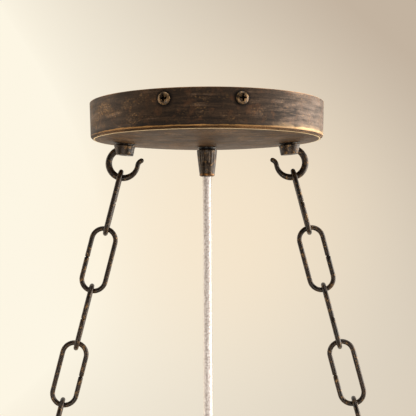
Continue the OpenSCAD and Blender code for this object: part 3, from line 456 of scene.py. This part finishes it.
def rubbed_finish(name, has_groove):
    """Near-black bronze paint, rubbed through to brown and copper. Painted sheen makes it browner at the left
    and more copper at the right.
    """
    finish, tree, shader, place = new_finish(name)
    x, y, z = add_node(tree, "SeparateXYZ", {0: place}).node.outputs
    # The masks below mark the sides facing the right and left lamps, where painted sheen lightens the colour.
    to_front = add_node(tree, "Math", {0: y, 1: -1.0}, operation="MULTIPLY")
    turn = add_node(tree, "Math", {0: x, 1: to_front}, operation="ARCTAN2")
    right_sheen_side = add_node(tree, "MapRange", {0: turn, 1: 0.15, 2: 1.15}, interpolation_type="SMOOTHSTEP")
    left_sheen_side = add_node(tree, "MapRange", {0: turn, 1: -0.45, 2: -1.3}, interpolation_type="SMOOTHSTEP")
    on_side = add_node(tree, "MapRange", {0: z, 1: groove_z, 2: groove_z + 2 * mm})
    # Brush strokes are some 20 mm long and 1.5 mm wide, rubbed patches some 12 mm across.
    strokes = speckle(tree, place, 20 * mm, 7.0, 0.68, (1, 1, 11))
    patches = speckle(tree, place, 13 * mm, 6.0, 0.62, (1, 1, 1.7))
    clouds = speckle(tree, place, 45 * mm, 2.0, 0.5, (1, 1, 1.6))
    grain = speckle(tree, place, 1.3 * mm, 3.0, 0.7, (1, 1, 1.6))
    rust = speckle(tree, place, 4 * mm, 4.0, 0.6)
    # Brown patches are thick under the cover, and thick at the left as painted sheen from the left lamp.
    under = add_node(tree, "Math", {0: 0.45, 1: on_side}, operation="SUBTRACT", use_clamp=True)
    brown_spread = add_node(tree, "Math", {0: left_sheen_side, 1: under}, operation="MAXIMUM")
    brown_gain = add_node(tree, "MapRange", {0: brown_spread, 3: -0.12, 4: 0.08})
    brown = add_node(tree, "Math", {0: patches, 1: brown_gain}, operation="ADD")
    # Under the cover the brush left long streaks, dark in between, under a thin olive glaze.
    streaks = speckle(tree, place, 16 * mm, 7.0, 0.72, (1, 5, 1))
    # Copper haze and streaks are thick at the right, as painted sheen from the right lamp.
    haze = add_node(tree, "Math", {0: strokes, 1: 0.55, 2: overlap(tree, patches, 0.45)},
                    operation="MULTIPLY_ADD")
    copper_sheen_gain = add_node(tree, "MapRange", {0: overlap(tree, right_sheen_side, on_side), 3: -0.16, 4: 0.03})
    copper = add_node(tree, "Math", {0: haze, 1: copper_sheen_gain}, operation="ADD")
    # Gold flecks about 1.5 mm across sit within the patches, denser at the left as painted sheen.
    gold = overlap(tree, (grain, 0.56, 0.68), (patches, 0.5, 0.62), (left_sheen_side, 0, 1, 0.35, 0.8))
    colour = layered(
        tree, "#241c17",
        ("#3a2d23", (clouds, 0.36, 0.64)),
        ("#4d3c2e", (strokes, 0.42, 0.7), 0.75),
        ("#5c4630", (brown, 0.46, 0.64), 0.85),
        ("#5b4326", (streaks, 0.45, 0.62), (on_side, 1, 0), 0.75),
        ("#2a1f15", (streaks, 0.44, 0.34), (on_side, 1, 0), 0.6),
        ("#776559", (copper, 0.4, 0.62), 0.8),
        ("#120d0a", (grain, 0.48, 0.34), 0.5),
        ("#c0935a", gold),
        ("#65452e", (rust, 0.54, 0.68), 0.35),
        ("#38240c", (on_side, 1, 0), 0.25))
    shine = gold
    if has_groove:
        colour, shine = add_groove(tree, place, colour, shine, strokes, patches, right_sheen_side)
    # Painted shade darkens the groove and the places where the screws, collars and grip stand on the cover.
    contact_shade = add_node(tree, "AmbientOcclusion", {"Distance": 2.6 * mm}, "AO", samples=8)
    colour = layered(tree, colour, ("#0d0907", (contact_shade, 0.97, 0.72), 0.85),
                     ("#b98a5c", worn_edges(tree, 0.7 * mm), (strokes, 0.4, 0.6, 0.1, 0.8)))
    plain_metal = add_node(tree, "MapRange", {0: on_side, 3: 0.21, 4: 0.3})
    metallic = add_node(tree, "Math", {0: plain_metal, 1: overlap(tree, shine, 0.3)}, operation="ADD")
    roughness = add_node(tree, "MapRange", {0: strokes, 1: 0.3, 2: 0.7, 3: 0.62, 4: 0.46})
    gloss = add_node(tree, "MapRange", {0: on_side, 3: 0.11, 4: 0.2})
    ripple = add_node(tree, "Math", {0: grain, 1: 0.6, 2: strokes}, operation="MULTIPLY_ADD")
    bump = add_node(tree, "Bump", {"Strength": 0.3, "Distance": 0.22 * mm, "Height": ripple})
    fill(shader, {"Base Color": colour, "Metallic": metallic, "Roughness": roughness, "Normal": bump,
                  "Specular IOR Level": gloss})
    return finish


dress(rubbed_finish("hand_rubbed_bronze", True), "canopy_shell")
dress(rubbed_finish("hand_rubbed_small_bronze", False), "hub_cover", "drip_pans", "candle_cups")


# ---------------------------------------------------------------- screws, hooks and collars
# Hooks are bent from round steel wire, collars and screws are turned, and all have a near-black
# bronze lacquer. It has rubbed through to brown-gold specks where the pieces touch or were held.

dark_bronze, tree, shader, place = new_finish("dark_bronze_lacquer")
tone = speckle(tree, place, 7 * mm, 4.0)
specks = speckle(tree, place, 1.9 * mm, 4.0, 0.65)
on_edges = overlap(tree, worn_edges(tree, 0.5 * mm), (specks, 0.42, 0.62))
worn = add_node(tree, "Math", {0: overlap(tree, (specks, 0.54, 0.68)), 1: on_edges}, operation="MAXIMUM")
# The colour darkens in the hollows, such as the links' seams.
crevice = add_node(tree, "AmbientOcclusion", {"Distance": 0.9 * mm}, "AO", samples=6)
lacquer = layered(tree, "#110c09", ("#281c13", (tone, 0.35, 0.65)), ("#745a3a", worn),
                  ("#080605", (crevice, 0.85, 0.5), 0.9))
bump = add_node(tree, "Bump", {"Strength": 0.4, "Distance": 0.15 * mm, "Height": specks})
fill(shader, {"Base Color": lacquer, "Metallic": overlap(tree, (worn, 0, 1, 0.25, 0.6)),
              "Roughness": overlap(tree, (tone, 0.3, 0.7, 0.28, 0.44)), "Normal": bump,
              "Specular IOR Level": 0.35})
dress(dark_bronze, "hub_cord_grip", "left_eye_bolt", "right_eye_bolt", "eye_collars", "eye_nuts",
      "lamp_lock_nuts", "finial")

# The side screws' brown lacquer has worn to gold in scuffs. Its cross recess is painted black as shade.
worn_screw, tree, shader, place = new_finish("worn_screw_lacquer")
scuffs = speckle(tree, place, 1.7 * mm, 3.0, 0.6)
worn = overlap(tree, (scuffs, 0.44, 0.6))
fill(shader, {"Base Color": layered(tree, "#33281e", ("#7d6446", worn)),
              "Metallic": overlap(tree, (worn, 0, 1, 0.5, 0.8)),
              "Roughness": overlap(tree, (scuffs, 0.3, 0.7, 0.3, 0.44))})
dress(worn_screw, "hub_cover_screws")

# Painted shade: a near-black, matt finish for the cross recess.
screw_recess_shade, tree, shader, place = new_finish("screw_recess_painted_shade")
recess_shade_colour = layered(tree, "#050403", ("#0f0b08", speckle(tree, place, 0.5 * mm, 3.0, 0.55)))
fill(shader, {"Base Color": recess_shade_colour, "Roughness": 0.9, "Specular IOR Level": 0.05})

# A screw's sizes, in millimetres. Each thread is drawn as a step out and a step in.
head_r = (screw_high.z - screw_low.z) / 2 / mm
head_height = 1.5
head_rings = 34
head_sides = 96
recess_depth = 1.3
recess_arm = 1.95
recess_half = 0.62
recess_taper = 0.22
recess_wall = 0.14
recess_end = 0.2
shank_r = 1.75
shank_end = -8.0
thread_step = 0.35
thread_depth = 0.28
thread_steps = 21


def recess_share(x, y):
    """How far a point of the head, in millimetres, lies inside the cross recess, 0 to 1."""
    share = 0
    for along, off in ((abs(x), abs(y)), (abs(y), abs(x))):
        wall = (recess_half - recess_taper * along / recess_arm - off) / recess_wall
        end = (recess_arm - along) / recess_end
        share = max(share, min(1, max(0, wall)) * min(1, max(0, end)))
    return share


def screw_head():
    """A pan head with a cross recess on the plane z = 0, its shank below. In millimetres."""
    points = [Vector((0, 0, head_height - recess_depth))]
    for j in range(1, head_rings + 1):
        r = head_r * 0.97 * j / head_rings
        crown = head_height * (1 - 0.62 * (r / head_r) ** 3.2)
        for p in circle(r, crown, head_sides):
            points.append(p - Vector((0, 0, recess_depth * recess_share(p.x, p.y))))
    outline = [(head_r, 0.42), (head_r, 0.12), (head_r - 0.12, 0), (shank_r, 0)]
    outline += [(shank_r - thread_depth * (k % 2), -thread_step * (k + 1)) for k in range(thread_steps)]
    outline += [(1.2, shank_end)]
    points += [p for r, z in outline for p in circle(r, z, head_sides)]
    points.append(Vector((0, 0, shank_end)))
    # A fan closes the middle of the head and another the end of the shank.
    neighbours = [(i, (i + 1) % head_sides) for i in range(head_sides)]
    faces = [(0, 1 + i, 1 + j) for i, j in neighbours]
    foot = len(points) - 1 - head_sides
    for a in range(1, foot, head_sides):
        b = a + head_sides
        faces += [(a + i, b + i, b + j, a + j) for i, j in neighbours]
    faces += [(foot + j, foot + i, len(points) - 1) for i, j in neighbours]
    return points, faces


def turned(profile, sides):
    """A closed profile of (radius, height) in millimetres, turned round the Z axis."""
    points = [p * mm for r, z in profile for p in circle(r, z, sides)]
    return points, skin_rings(len(profile), sides, closed=True)


def crisp(piece, degrees=38):
    """Keeps edges sharper than that angle and shades the rest smooth."""
    piece.data.set_sharp_from_angle(angle=math.radians(degrees))


head_points, head_faces = screw_head()
# Faces deep in the cross recess take the painted shade finish.
points, faces, in_shaded_recess = [], [], []
for face in head_faces:
    middle = sum((head_points[i] for i in face), Vector()) / len(face)
    in_shaded_recess.append(int(middle.z > 0 and recess_share(middle.x, middle.y) > 0.3))
for bearing, seat in zip(screw_bearings, screw_seats):
    stand = Matrix.Translation(seat) @ Matrix.Rotation(bearing, 4, "Z") @ Matrix.Rotation(math.pi / 2, 4, "Y")
    faces += [tuple(len(points) + i for i in face) for face in head_faces]
    points += [stand @ (p * mm) for p in head_points]
piece = new_piece("cross_head_side_screws", points, faces, worn_screw)
piece.data.materials.append(screw_recess_shade)
piece.data.polygons.foreach_set("material_index", in_shaded_recess * len(screw_seats))
crisp(piece, 30)
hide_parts("canopy_side_screws")
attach(piece, "canopy")


def sweep_wire(path, widths, sides, ahead):
    """Rings of points round a wire that bends in the plane square to `ahead`."""
    turns = [2 * math.pi * k / sides for k in range(sides)]
    points = []
    for i, centre in enumerate(path):
        along = (path[min(i + 1, len(path) - 1)] - path[max(i - 1, 0)]).normalized()
        outward = along.cross(ahead).normalized()
        points += [centre + (outward * math.cos(a) + ahead * math.sin(a)) * widths[i] / 2 for a in turns]
    return points


def arc(centre, radius, start, end, steps):
    """Points in the XZ plane on an arc, its angles in degrees from +X towards +Z."""
    angles = [math.radians(start + (end - start) * i / steps) for i in range(steps + 1)]
    return [centre + Vector((radius * math.cos(a), 0, radius * math.sin(a))) for a in angles]


# The wire thins from the lowest point of the ring to its tip. Angles are in degrees, from the
# ring's outer side up towards the ceiling, but the nose's are in radians from its own base.
hook_wire = 4 * mm
hook_tip_wire = 2.95 * mm
hook_wire_sides = 20
hook_r = 8.8 * mm
hook_tip_r = 4 * mm
hook_tilt = math.radians(4.97)
packed_half_wire = 1.95 * mm
ring_reach = hook_r + packed_half_wire
ring_start, ring_end, ring_steps = 68, -176, 72
thin_start, thin_span = -85, 85
tip_start, tip_end, tip_steps = 4, 62, 16
nose_angles = (0.35, 0.7, 1.0, 1.25, 1.45)
elbow_rise = 2.6 * mm
collar_rise = 12 * mm
collar_outline = [(1.9, 0.2), (5.1, 0.2), (5.1, -0.8), (6.0, -1.0), (6.45, -1.35), (6.45, -1.9),
                  (6.25, -2.2), (6.15, -2.3), (5.72, -6.6), (5.45, -7.0), (1.9, -7.0)]

for side, name, sign in (("left", "left_hook", -1), ("right", "right_hook", 1)):
    low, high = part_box(name)
    edge_x = low.x if sign < 0 else high.x
    ring = Vector((edge_x - sign * ring_reach, 0, low.z + ring_reach))
    shank_top = (high.z - ring.z) / math.cos(hook_tilt)
    # The wire goes down the shank, turns inside the collar and goes round to the open side.
    round_ring = arc(Vector(), hook_r, ring_start, ring_end, ring_steps)
    start = Vector((0, 0, hook_r + elbow_rise))
    corner = Vector((0, 0, hook_r))
    shank = [Vector((0, 0, shank_top + (start.z - shank_top) * i / 4)) for i in range(4)]
    elbow = [start * (1 - t) ** 2 + corner * 2 * t * (1 - t) + round_ring[0] * t**2
             for t in (i / 8 for i in range(8))]
    tip_turn = math.radians(tip_start)
    tip_centre = Vector((-math.cos(tip_turn), 0, -math.sin(tip_turn))) * (hook_r + hook_tip_r)
    tip = arc(tip_centre, hook_tip_r, tip_start, tip_end, tip_steps)[1:]
    lean = (tip[-1] - tip[-2]).normalized()
    nose = [tip[-1] + lean * hook_tip_wire / 2 * math.sin(a) for a in nose_angles]
    path = shank + elbow + round_ring + tip + nose
    widths = [hook_wire] * (len(shank) + len(elbow))
    for i in range(len(round_ring)):
        angle = ring_start + (ring_end - ring_start) * i / ring_steps
        thin = min(1, max(0, (thin_start - angle) / thin_span))
        widths.append(hook_wire + (hook_tip_wire - hook_wire) * (3 * thin**2 - 2 * thin**3))
    widths += [hook_tip_wire] * len(tip)
    widths += [hook_tip_wire * math.cos(a) for a in nose_angles]
    # Bent cold on a peg, the wire is never quite round.
    shake = random.Random(side)
    bumps = [shake.uniform(-1, 1) for _ in path]
    soft = [sum(bumps[max(0, i - 4) : i + 5]) / 9 for i in range(len(path))]
    widths = [w * (1 + 0.04 * b) for w, b in zip(widths, soft)]
    lift = Matrix.Rotation(-hook_tilt, 4, "Y")
    local = [lift @ p for p in sweep_wire(path, widths, hook_wire_sides, Vector((0, 1, 0)))]
    placed = [ring + Vector((sign * p.x, p.y, p.z)) for p in local]
    faces = skin_rings(len(path), hook_wire_sides)
    if sign > 0:
        faces = [f[::-1] for f in faces]
    piece = new_piece(side + "_bent_hook", placed, faces, dark_bronze)
    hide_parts(name)
    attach(piece, "canopy")

    # The turned collar has a waist under the canopy, a flared rim and a straight taper.
    seat = ring + Vector((-sign * math.sin(hook_tilt), 0, math.cos(hook_tilt))) * collar_rise
    rings, faces = turned(collar_outline, 64)
    tipped = [Matrix.Rotation(-sign * hook_tilt, 4, "Y") @ p for p in rings]
    piece = new_piece(side + "_hook_collar", [seat + p for p in tipped], faces, dark_bronze)
    crisp(piece)
    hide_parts("hook_collars")
    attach(piece, "canopy")


# ---------------------------------------------------------------- chains
# Each link is a length of round wire bent to an oval. Its ends meet in a butt seam at the
# middle of one leg, which is left open a hair. Links are threaded edge on and face on by turns.

link_wire = 2.95 * mm
link_end_wire = link_wire * 0.6
link_wire_sides = 16
link_bend = 7.2 * mm
link_length = 38.9 * mm
link_pitch = 35.9 * mm
link_count = 25
seam_gap = 0.06 * mm
bend_points = 19
# Every link hangs turned a little from square, in degrees, and has its own play either way.
edge_on_turn, edge_on_play = 5.5, 1.2
face_on_turn, face_on_play = 5, 4


def one_link(k, centre, up, sideways, turn, seam_side):
    """Link k about its centre. It lies in the plane of `up` and `sideways`, turned about `up`."""
    across = Matrix.Rotation(turn, 4, up) @ sideways
    normal = up.cross(across).normalized()
    half = (link_length - 2 * link_bend) / 2
    leg = (seam_gap / 2, 0.55 * mm, 3 * mm, half * 0.7)
    flat = [(link_bend, z) for z in leg]
    flat += [(link_bend * math.cos(a), half + link_bend * math.sin(a))
             for a in numpy.linspace(0, math.pi, bend_points)]
    flat += [(-link_bend, half * share) for share in (0.5, 0, -0.5)]
    flat += [(link_bend * math.cos(a), -half + link_bend * math.sin(a))
             for a in numpy.linspace(math.pi, 2 * math.pi, bend_points)]
    flat += [(link_bend, -z) for z in reversed(leg)]
    path = [centre + across * x * seam_side + up * z for x, z in flat]
    shake = random.Random(k)
    widths = [link_wire * (1 + shake.uniform(-0.015, 0.015)) for _ in flat]
    widths[0] = widths[-1] = link_end_wire
    faces = skin_rings(len(path), link_wire_sides)
    if seam_side < 0:
        faces = [f[::-1] for f in faces]
    return sweep_wire(path, widths, link_wire_sides, normal), faces


for side, sign in (("left", -1), ("right", 1)):
    top_low, top_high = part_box(side + "_top_link")
    end_low, end_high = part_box(side + "_bottom_link")
    first = (top_low + top_high) / 2
    last = (end_low + end_high) / 2
    down = (last - first).normalized()
    up = -down
    spans = (("top_link", 1, 1, "top_links"), ("chain_links", 2, link_count - 1, side + "_chain"),
             ("bottom_link", link_count, link_count, "bottom_links"))
    for kind, low_k, high_k, body in spans:
        points, faces = [], []
        for k in range(low_k, high_k + 1):
            centre = last if k == link_count else first + down * (k - 1) * link_pitch
            shake = random.Random(f"{side} link {k}")
            if k % 2:
                turn = shake.uniform(-edge_on_play, edge_on_play) - edge_on_turn * sign
                sideways = Vector((0, 1, 0))
                seam_side = 1 if (side, k) == ("left", 1) else -1
            else:
                turn = shake.uniform(-face_on_play, face_on_play) - face_on_turn * sign
                sideways = Vector((-up.z, 0, up.x)) * -sign
                seam_side = 1 if k % 4 == 2 else -1
            link_points, link_faces = one_link(k, centre, up, sideways, math.radians(turn), seam_side)
            faces += [tuple(len(points) + i for i in face) for face in link_faces]
            points += link_points
        piece = new_piece(f"{side}_wire_{kind}", points, faces, dark_bronze)
        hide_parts(f"{side}_{kind}")
        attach(piece, body)


# ---------------------------------------------------------------- cord grip
# The grip is a turned bronze cup that pinches the cord. Its upper half is fluted for the
# fingers, and its mouth is rounded over and rubbed down to copper.

grip_low, grip_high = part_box("cord_grip_body")
grip_length = grip_high.z - grip_low.z
# The cup's outline, in millimetres from the middle of its top, with the flutes' share at each.
drawn_length = 16
grip_outline = [
    (4.6, 0.0, 0), (5.9, 0.0, 0), (6.15, -0.25, 0), (6.2, -0.7, 0.3), (6.1, -1.4, 1), (5.95, -2.9, 1),
    (5.75, -4.9, 1), (5.5, -6.9, 1), (5.42, -7.8, 0.7), (5.34, -8.6, 0), (4.8, -13.2, 0), (4.66, -14.0, 0),
    (4.6, -14.5, 0), (4.7, -14.9, 0), (4.62, -15.4, 0), (4.3, -15.8, 0), (3.85, -16.0, 0), (3.3, -15.8, 0),
    (3.12, -15.3, 0), (3.12, -12.0, 0), (4.6, -11.0, 0)]
grip_flutes = 18
grip_sides = grip_flutes * 8
flute_depth = 0.13

# The same lacquer, browner, with the copper lip at its mouth.
grip_bronze = dark_bronze.copy()
grip_bronze.name = "rubbed_grip_bronze"
tree = grip_bronze.node_tree
shader = tree.nodes["Principled BSDF"]
place = add_node(tree, "TexCoord", out="Object")
height = add_node(tree, "SeparateXYZ", {0: place}, "Z")
marks = speckle(tree, place, 3.2 * mm, 5.0, 0.7)
copper_top = (height, grip_low.z + 1.75 * mm, grip_low.z + 1.35 * mm)
copper_end = (height, grip_low.z + 0.35 * mm, grip_low.z + 0.6 * mm)
browner = layered(tree, shader.inputs["Base Color"].links[0].from_socket,
                  ("#463a2d", (marks, 0.46, 0.62), 0.65),
                  ("#8f6028", copper_top, copper_end, (marks, 0.4, 0.56, 0.15, 1.0)))
fill(shader, {"Base Color": browner})

points = []
for radius, depth, fluted in grip_outline:
    z = grip_high.z + depth * grip_length / drawn_length
    for i in range(grip_sides):
        angle = 2 * math.pi * i / grip_sides
        r = (radius - flute_depth * fluted * (1 - math.cos(grip_flutes * angle))) * mm
        points.append((r * math.cos(angle), r * math.sin(angle), z))
faces = skin_rings(len(grip_outline), grip_sides, closed=True)
piece = new_piece("fluted_cord_grip", points, faces, grip_bronze)
crisp(piece)
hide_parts("cord_grip_body")
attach(piece, "canopy")

# Black nylon of the cord grip's nipple: glossy moulded plastic.
black_nylon, tree, shader, place = new_finish("black_nylon")
nylon = layered(tree, "#0b0b0c", ("#17171a", speckle(tree, place, 0.6 * mm)))
fill(shader, {"Base Color": nylon, "Roughness": 0.16, "Specular IOR Level": 0.25})

# The nipple stands through the cover, its thread above and below. Two rolls on its collar show
# above the grip. Sizes are in millimetres.
nipple_low, nipple_high = (corner.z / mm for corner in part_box("cord_grip_nipple"))
cover_z = shell_low.z / mm
grip_top = grip_mouth_z / mm + drawn_length
bore_r = 3.1
nipple_r = 5.0
lower_r = 4.4
turn_step = 0.4
rolls = ((nipple_r, -0.1), (5.15, 0.1), (5.2, 0.35), (5.1, 0.62), (4.85, 0.75), (5.05, 0.85), (5.22, 1.0),
         (5.24, 1.2), (5.1, 1.4), (4.8, 1.5), (4.8, 1.88))
outline = [(bore_r, nipple_high), (4.85, nipple_high), (nipple_r, nipple_high - 0.2)]
outline += [(nipple_r - 0.25 * (k % 2), nipple_high - 0.5 - turn_step * k) for k in range(13)]
outline += [(r, cover_z - drop) for r, drop in rolls]
outline += [(lower_r - 0.22 * (k % 2), grip_top - 0.05 - turn_step * k)
            for k in range(int((grip_top - nipple_low) / turn_step))]
outline += [(4.0, nipple_low), (bore_r, nipple_low)]
points, faces = turned(outline, 64)
piece = new_piece("black_nylon_nipple", points, faces, black_nylon)
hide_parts("cord_grip_nipple")
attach(piece, "canopy")


# ---------------------------------------------------------------- wooden rim, spokes and nave
# The rim is bent in two halves, the spokes and the nave are turned, all in open-grained
# softwood, stained brown and waxed. The grain runs along every piece, and edges are rubbed pale.

along_grain = (0.05, 1, 1)


def stained_wood(name, grain_place):
    """The stained wood. grain_place(tree, place) gives coordinates with X along the grain."""
    finish, tree, shader, place = new_finish(name)
    run = grain_place(tree, place)
    board = speckle(tree, run, 22 * mm, 2.0, 0.5, along_grain)
    rings = speckle(tree, run, 3.2 * mm, 3.0, 0.55, along_grain)
    pores = speckle(tree, run, 0.8 * mm, 2.0, 0.5, along_grain)
    ring_share = overlap(tree, (rings, 0.36, 0.64))
    mixed = add_node(tree, "Math", {0: board, 1: 0.8, 2: ring_share}, operation="MULTIPLY_ADD")
    wood = layered(tree, "#3a2818", ("#7d5a38", (mixed, 0.3, 1.3)), ("#1d130b", (pores, 0.4, 0.3)),
                   ("#a98257", worn_edges(tree, 2.2 * mm), (rings, 0.4, 0.62)))
    height = add_node(tree, "Math", {0: pores, 1: 0.5, 2: rings}, operation="MULTIPLY_ADD")
    bump = add_node(tree, "Bump", {"Strength": 0.5, "Distance": 0.5 * mm, "Height": height})
    fill(shader, {"Base Color": wood, "Roughness": overlap(tree, (rings, 0.3, 0.7, 0.7, 0.5)),
                  "Normal": bump})
    return finish


rim_width = 38 * mm
rim_mid_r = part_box("rim_half_left")[1].y - rim_width / 2
rim_joint_angle = math.radians(75)
spoke_count = 12
spoke_step = 2 * math.pi / spoke_count
board_width = 110 * mm


def round_axis(tree, place):
    """A place's angle round the axis, its distance from the axis and its height."""
    x, y, z = add_node(tree, "SeparateXYZ", {0: place}).node.outputs
    flat = add_node(tree, "CombineXYZ", {0: x, 1: y})
    radius = add_node(tree, "VectorMath", {0: flat}, "Value", operation="LENGTH")
    return add_node(tree, "Math", {0: y, 1: x}, operation="ARCTAN2"), radius, z


def round_the_rim(tree, place):
    """Length round the ring, from one of its joints, then distance from the axis and height."""
    from_joint = add_node(tree, "VectorRotate", {0: place, "Angle": -rim_joint_angle}, rotation_type="Z_AXIS")
    angle, radius, z = round_axis(tree, from_joint)
    length = add_node(tree, "Math", {0: angle, 1: rim_mid_r}, operation="MULTIPLY")
    return add_node(tree, "CombineXYZ", {0: length, 1: radius, 2: z})


def along_the_spokes(tree, place):
    """Distance from the axis, then across the nearest of the twelve spokes, and height."""
    angle, radius, z = round_axis(tree, place)
    which = add_node(tree, "Math", {0: angle, 1: spoke_step}, operation="DIVIDE")
    nearest = add_node(tree, "Math", {0: which}, operation="ROUND")
    off = add_node(tree, "Math", {0: nearest, 1: -spoke_step, 2: angle}, operation="MULTIPLY_ADD")
    across = add_node(tree, "Math", {0: off, 1: radius}, operation="MULTIPLY")
    # Every spoke is cut from its own board, so its pattern is moved on by one board's width.
    moved = add_node(tree, "Math", {0: nearest, 1: board_width, 2: across}, operation="MULTIPLY_ADD")
    return add_node(tree, "CombineXYZ", {0: radius, 1: moved, 2: z})


def up_the_nave(tree, place):
    """Height first, because the nave is turned with its grain upright."""
    x, y, z = add_node(tree, "SeparateXYZ", {0: place}).node.outputs
    return add_node(tree, "CombineXYZ", {0: z, 1: x, 2: y})


dress(stained_wood("bent_rim_wood", round_the_rim), "rim_half_left", "rim_half_right")
dress(stained_wood("turned_spoke_wood", along_the_spokes),
      *[f"spoke_{i:02d}" for i in range(1, spoke_count + 1)])
dress(stained_wood("turned_nave_wood", up_the_nave), "nave")


# ---------------------------------------------------------------- tyre, bands and plates
# Flat bar iron is rolled round the rim and the nave and held by domed rivets. Forge scale
# leaves it blue-black and slightly pitted, with brown rust in the hollows and bright edges.

wheel_iron, tree, shader, place = new_finish("forge_blackened_iron")
scale_marks = speckle(tree, place, 9 * mm, 5.0, 0.6)
pits = speckle(tree, place, 1.6 * mm, 3.0)
rusted = overlap(tree, (scale_marks, 0.62, 0.74))
iron = layered(tree, "#1b1918", ("#3a332e", (scale_marks, 0.38, 0.62)), ("#5b3a22", rusted),
               ("#8a7a68", worn_edges(tree, 1.2 * mm), (pits, 0.4, 0.6)))
height = add_node(tree, "Math", {0: pits, 1: 0.4, 2: scale_marks}, operation="MULTIPLY_ADD")
bump = add_node(tree, "Bump", {"Strength": 0.55, "Distance": 0.6 * mm, "Height": height})
fill(shader, {"Base Color": iron, "Metallic": overlap(tree, (rusted, 0, 1, 0.75, 0.1)),
              "Roughness": overlap(tree, (pits, 0.3, 0.7, 0.62, 0.42)), "Normal": bump})
dress(wheel_iron, "tyre_band", "tyre_rivets", "nave_top_band", "nave_bottom_band",
      "rim_joint_plates", "rim_joint_screws")


# ---------------------------------------------------------------- candle lamps
# Each lamp is a plastic sleeve over a black phenolic holder with a rolled brass screw shell.
# The sleeve is moulded in ivory to pass for wax.

# Moulded ivory plastic: creamy and faintly cloudy, with the light passing a little way in.
candle_ivory, tree, shader, place = new_finish("candle_ivory_plastic")
ivory = layered(tree, "#d9cba6", ("#efe6cc", speckle(tree, place, 16 * mm, 3.0)))
fill(shader, {"Base Color": ivory, "Roughness": 0.45, "Subsurface Weight": 0.15,
              "Subsurface Scale": 2 * mm})
dress(candle_ivory, "candle_sleeves")

# Moulded phenolic: a half-matt black, very slightly mottled.
black_phenolic, tree, shader, place = new_finish("black_phenolic")
phenolic = layered(tree, "#0e0d0d", ("#1f1d1c", speckle(tree, place, 0.8 * mm, 3.0)))
fill(shader, {"Base Color": phenolic, "Roughness": 0.38})
dress(black_phenolic, "lamp_holders", "lamp_wires")

# Rolled brass: yellow metal, tarnished browner in small clouds.
brass, tree, shader, place = new_finish("rolled_brass")
tarnished = layered(tree, "#8c6a33", ("#c79f57", speckle(tree, place, 4 * mm, 4.0)))
fill(shader, {"Base Color": tarnished, "Metallic": 1, "Roughness": 0.3})
dress(brass, "screw_shells", "centre_contacts")
